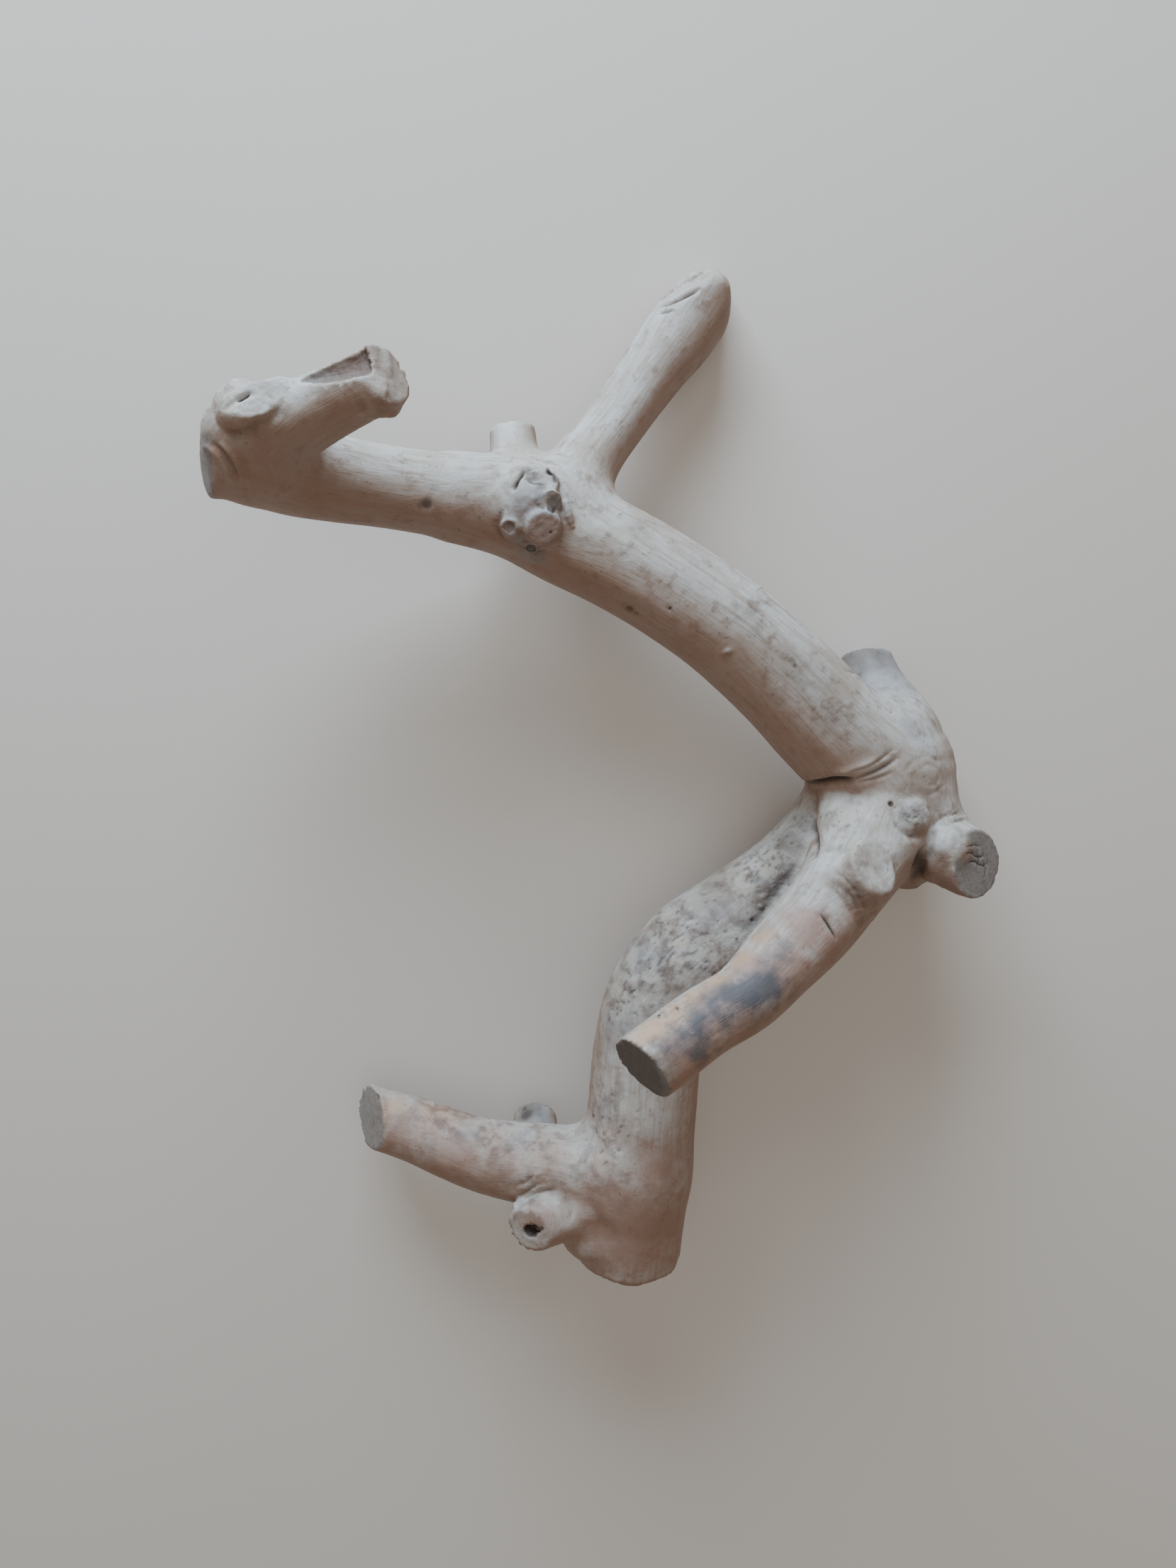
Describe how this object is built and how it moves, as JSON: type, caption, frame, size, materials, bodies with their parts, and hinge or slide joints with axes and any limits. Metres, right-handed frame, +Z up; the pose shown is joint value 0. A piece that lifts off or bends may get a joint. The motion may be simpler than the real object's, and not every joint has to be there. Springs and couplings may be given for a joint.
{
  "type": "fallen tree branch",
  "caption": "Bleached, debarked fallen tree branch, bent back on itself, with sawn side stubs, a knot cluster and a hooked hollow stub, lying on its back.",
  "frame": {"origin": "centre of the branch's bounding box, at the surface it lies on", "axes": "+Z up from the surface it lies on, +Y from the sawn foot towards the fork tip, +X towards the right-hand stub at the bend"},
  "size_m": [0.2798, 0.3738, 0.1133],
  "materials": {
    "bleached_wood": "bare weathered wood, bark gone, silky matt with fine grain, bleached cream above and brown in the shaded sides"
  },
  "bodies": {
    "root": {"trunk": "bleached_wood", "low_limb": "bleached_wood", "forward_limb": "bleached_wood", "upper_limb": "bleached_wood", "fork_limb": "bleached_wood", "end_limb": "bleached_wood", "hooked_stub": "bleached_wood"}
  },
  "joints": []
}
